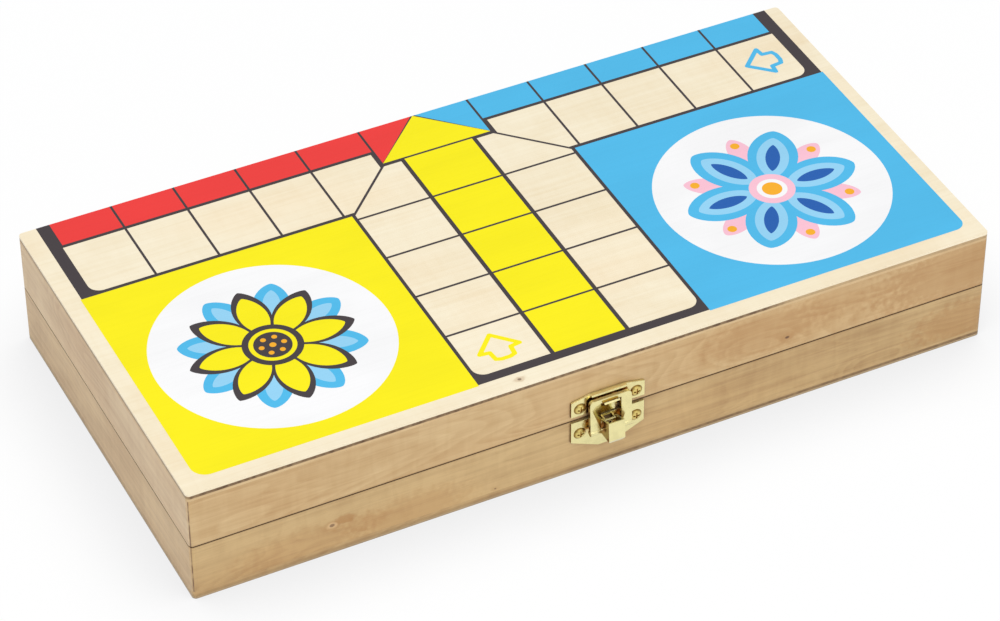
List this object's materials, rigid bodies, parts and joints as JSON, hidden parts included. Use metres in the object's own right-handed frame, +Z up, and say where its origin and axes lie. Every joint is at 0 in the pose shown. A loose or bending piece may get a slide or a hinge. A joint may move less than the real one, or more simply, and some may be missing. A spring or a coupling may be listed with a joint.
{
  "type": "folding board game box",
  "caption": "Hinged wooden box whose two shallow trays shut with a toggle latch and open flat into a square board, with pawns and a die inside.",
  "frame": {"origin": "centre of the underside of the shut box, not counting the latch and the hinge barrels", "axes": "+X along the box's length to the right, +Z up, front with the latch at -Y, hinges at +Y"},
  "size_m": [0.3, 0.1591, 0.046],
  "materials": {
    "plywood": "clear satin varnish",
    "birch": "clear satin varnish",
    "brass": "polished",
    "brass_screw": "polished",
    "paint_red": "gloss paint",
    "paint_yellow": "gloss paint",
    "paint_blue": "gloss paint",
    "paint_green": "gloss paint",
    "white_paint": "gloss",
    "dark_ink": "satin"
  },
  "bodies": {
    "base": {"base_panel": "plywood", "base_front_wall": "birch", "base_back_wall": "birch", "base_left_wall": "birch", "base_right_wall": "birch", "hinge_left_base_leaf": "brass", "hinge_left_pin": "brass", "hinge_right_base_leaf": "brass", "hinge_right_pin": "brass", "hinge_screws_base": "brass_screw", "latch_lower_plate": "brass", "latch_lever_pin": "brass", "latch_screws_base": "brass_screw", "pawns_red": "paint_red", "pawns_yellow": "paint_yellow", "pawns_blue": "paint_blue", "pawns_green": "paint_green", "die": "white_paint", "die_pips": "dark_ink"},
    "lid": {"lid_panel": "plywood", "lid_front_wall": "birch", "lid_back_wall": "birch", "lid_left_wall": "birch", "lid_right_wall": "birch", "hinge_left_lid_leaf": "brass", "hinge_right_lid_leaf": "brass", "hinge_screws_lid": "brass_screw", "latch_keeper": "brass", "latch_screws_lid": "brass_screw"},
    "latch_lever": {"latch_lever": "brass", "latch_loop_pin": "brass"},
    "latch_loop": {"latch_loop": "brass"}
  },
  "joints": [
    {"name": "lid_hinge", "type": "hinge", "parent": "base", "child": "lid", "pos_m": [0, 0.0747, 0.023], "axis": [-1, 0, 0], "range_deg": [0, 180]},
    {"name": "latch_lever_pivot", "type": "hinge", "parent": "base", "child": "latch_lever", "pos_m": [0.0018, -0.0764, 0.0202], "axis": [-1, 0, 0], "range_deg": [0, 65]},
    {"name": "latch_loop_pivot", "type": "hinge", "parent": "latch_lever", "child": "latch_loop", "pos_m": [0.0018, -0.0774, 0.0175], "axis": [-1, 0, 0], "range_deg": [-60, 0]}
  ],
  "couplings": [
    {"joint": "latch_loop_pivot", "follows": "latch_lever_pivot", "ratio": -0.9}
  ]
}
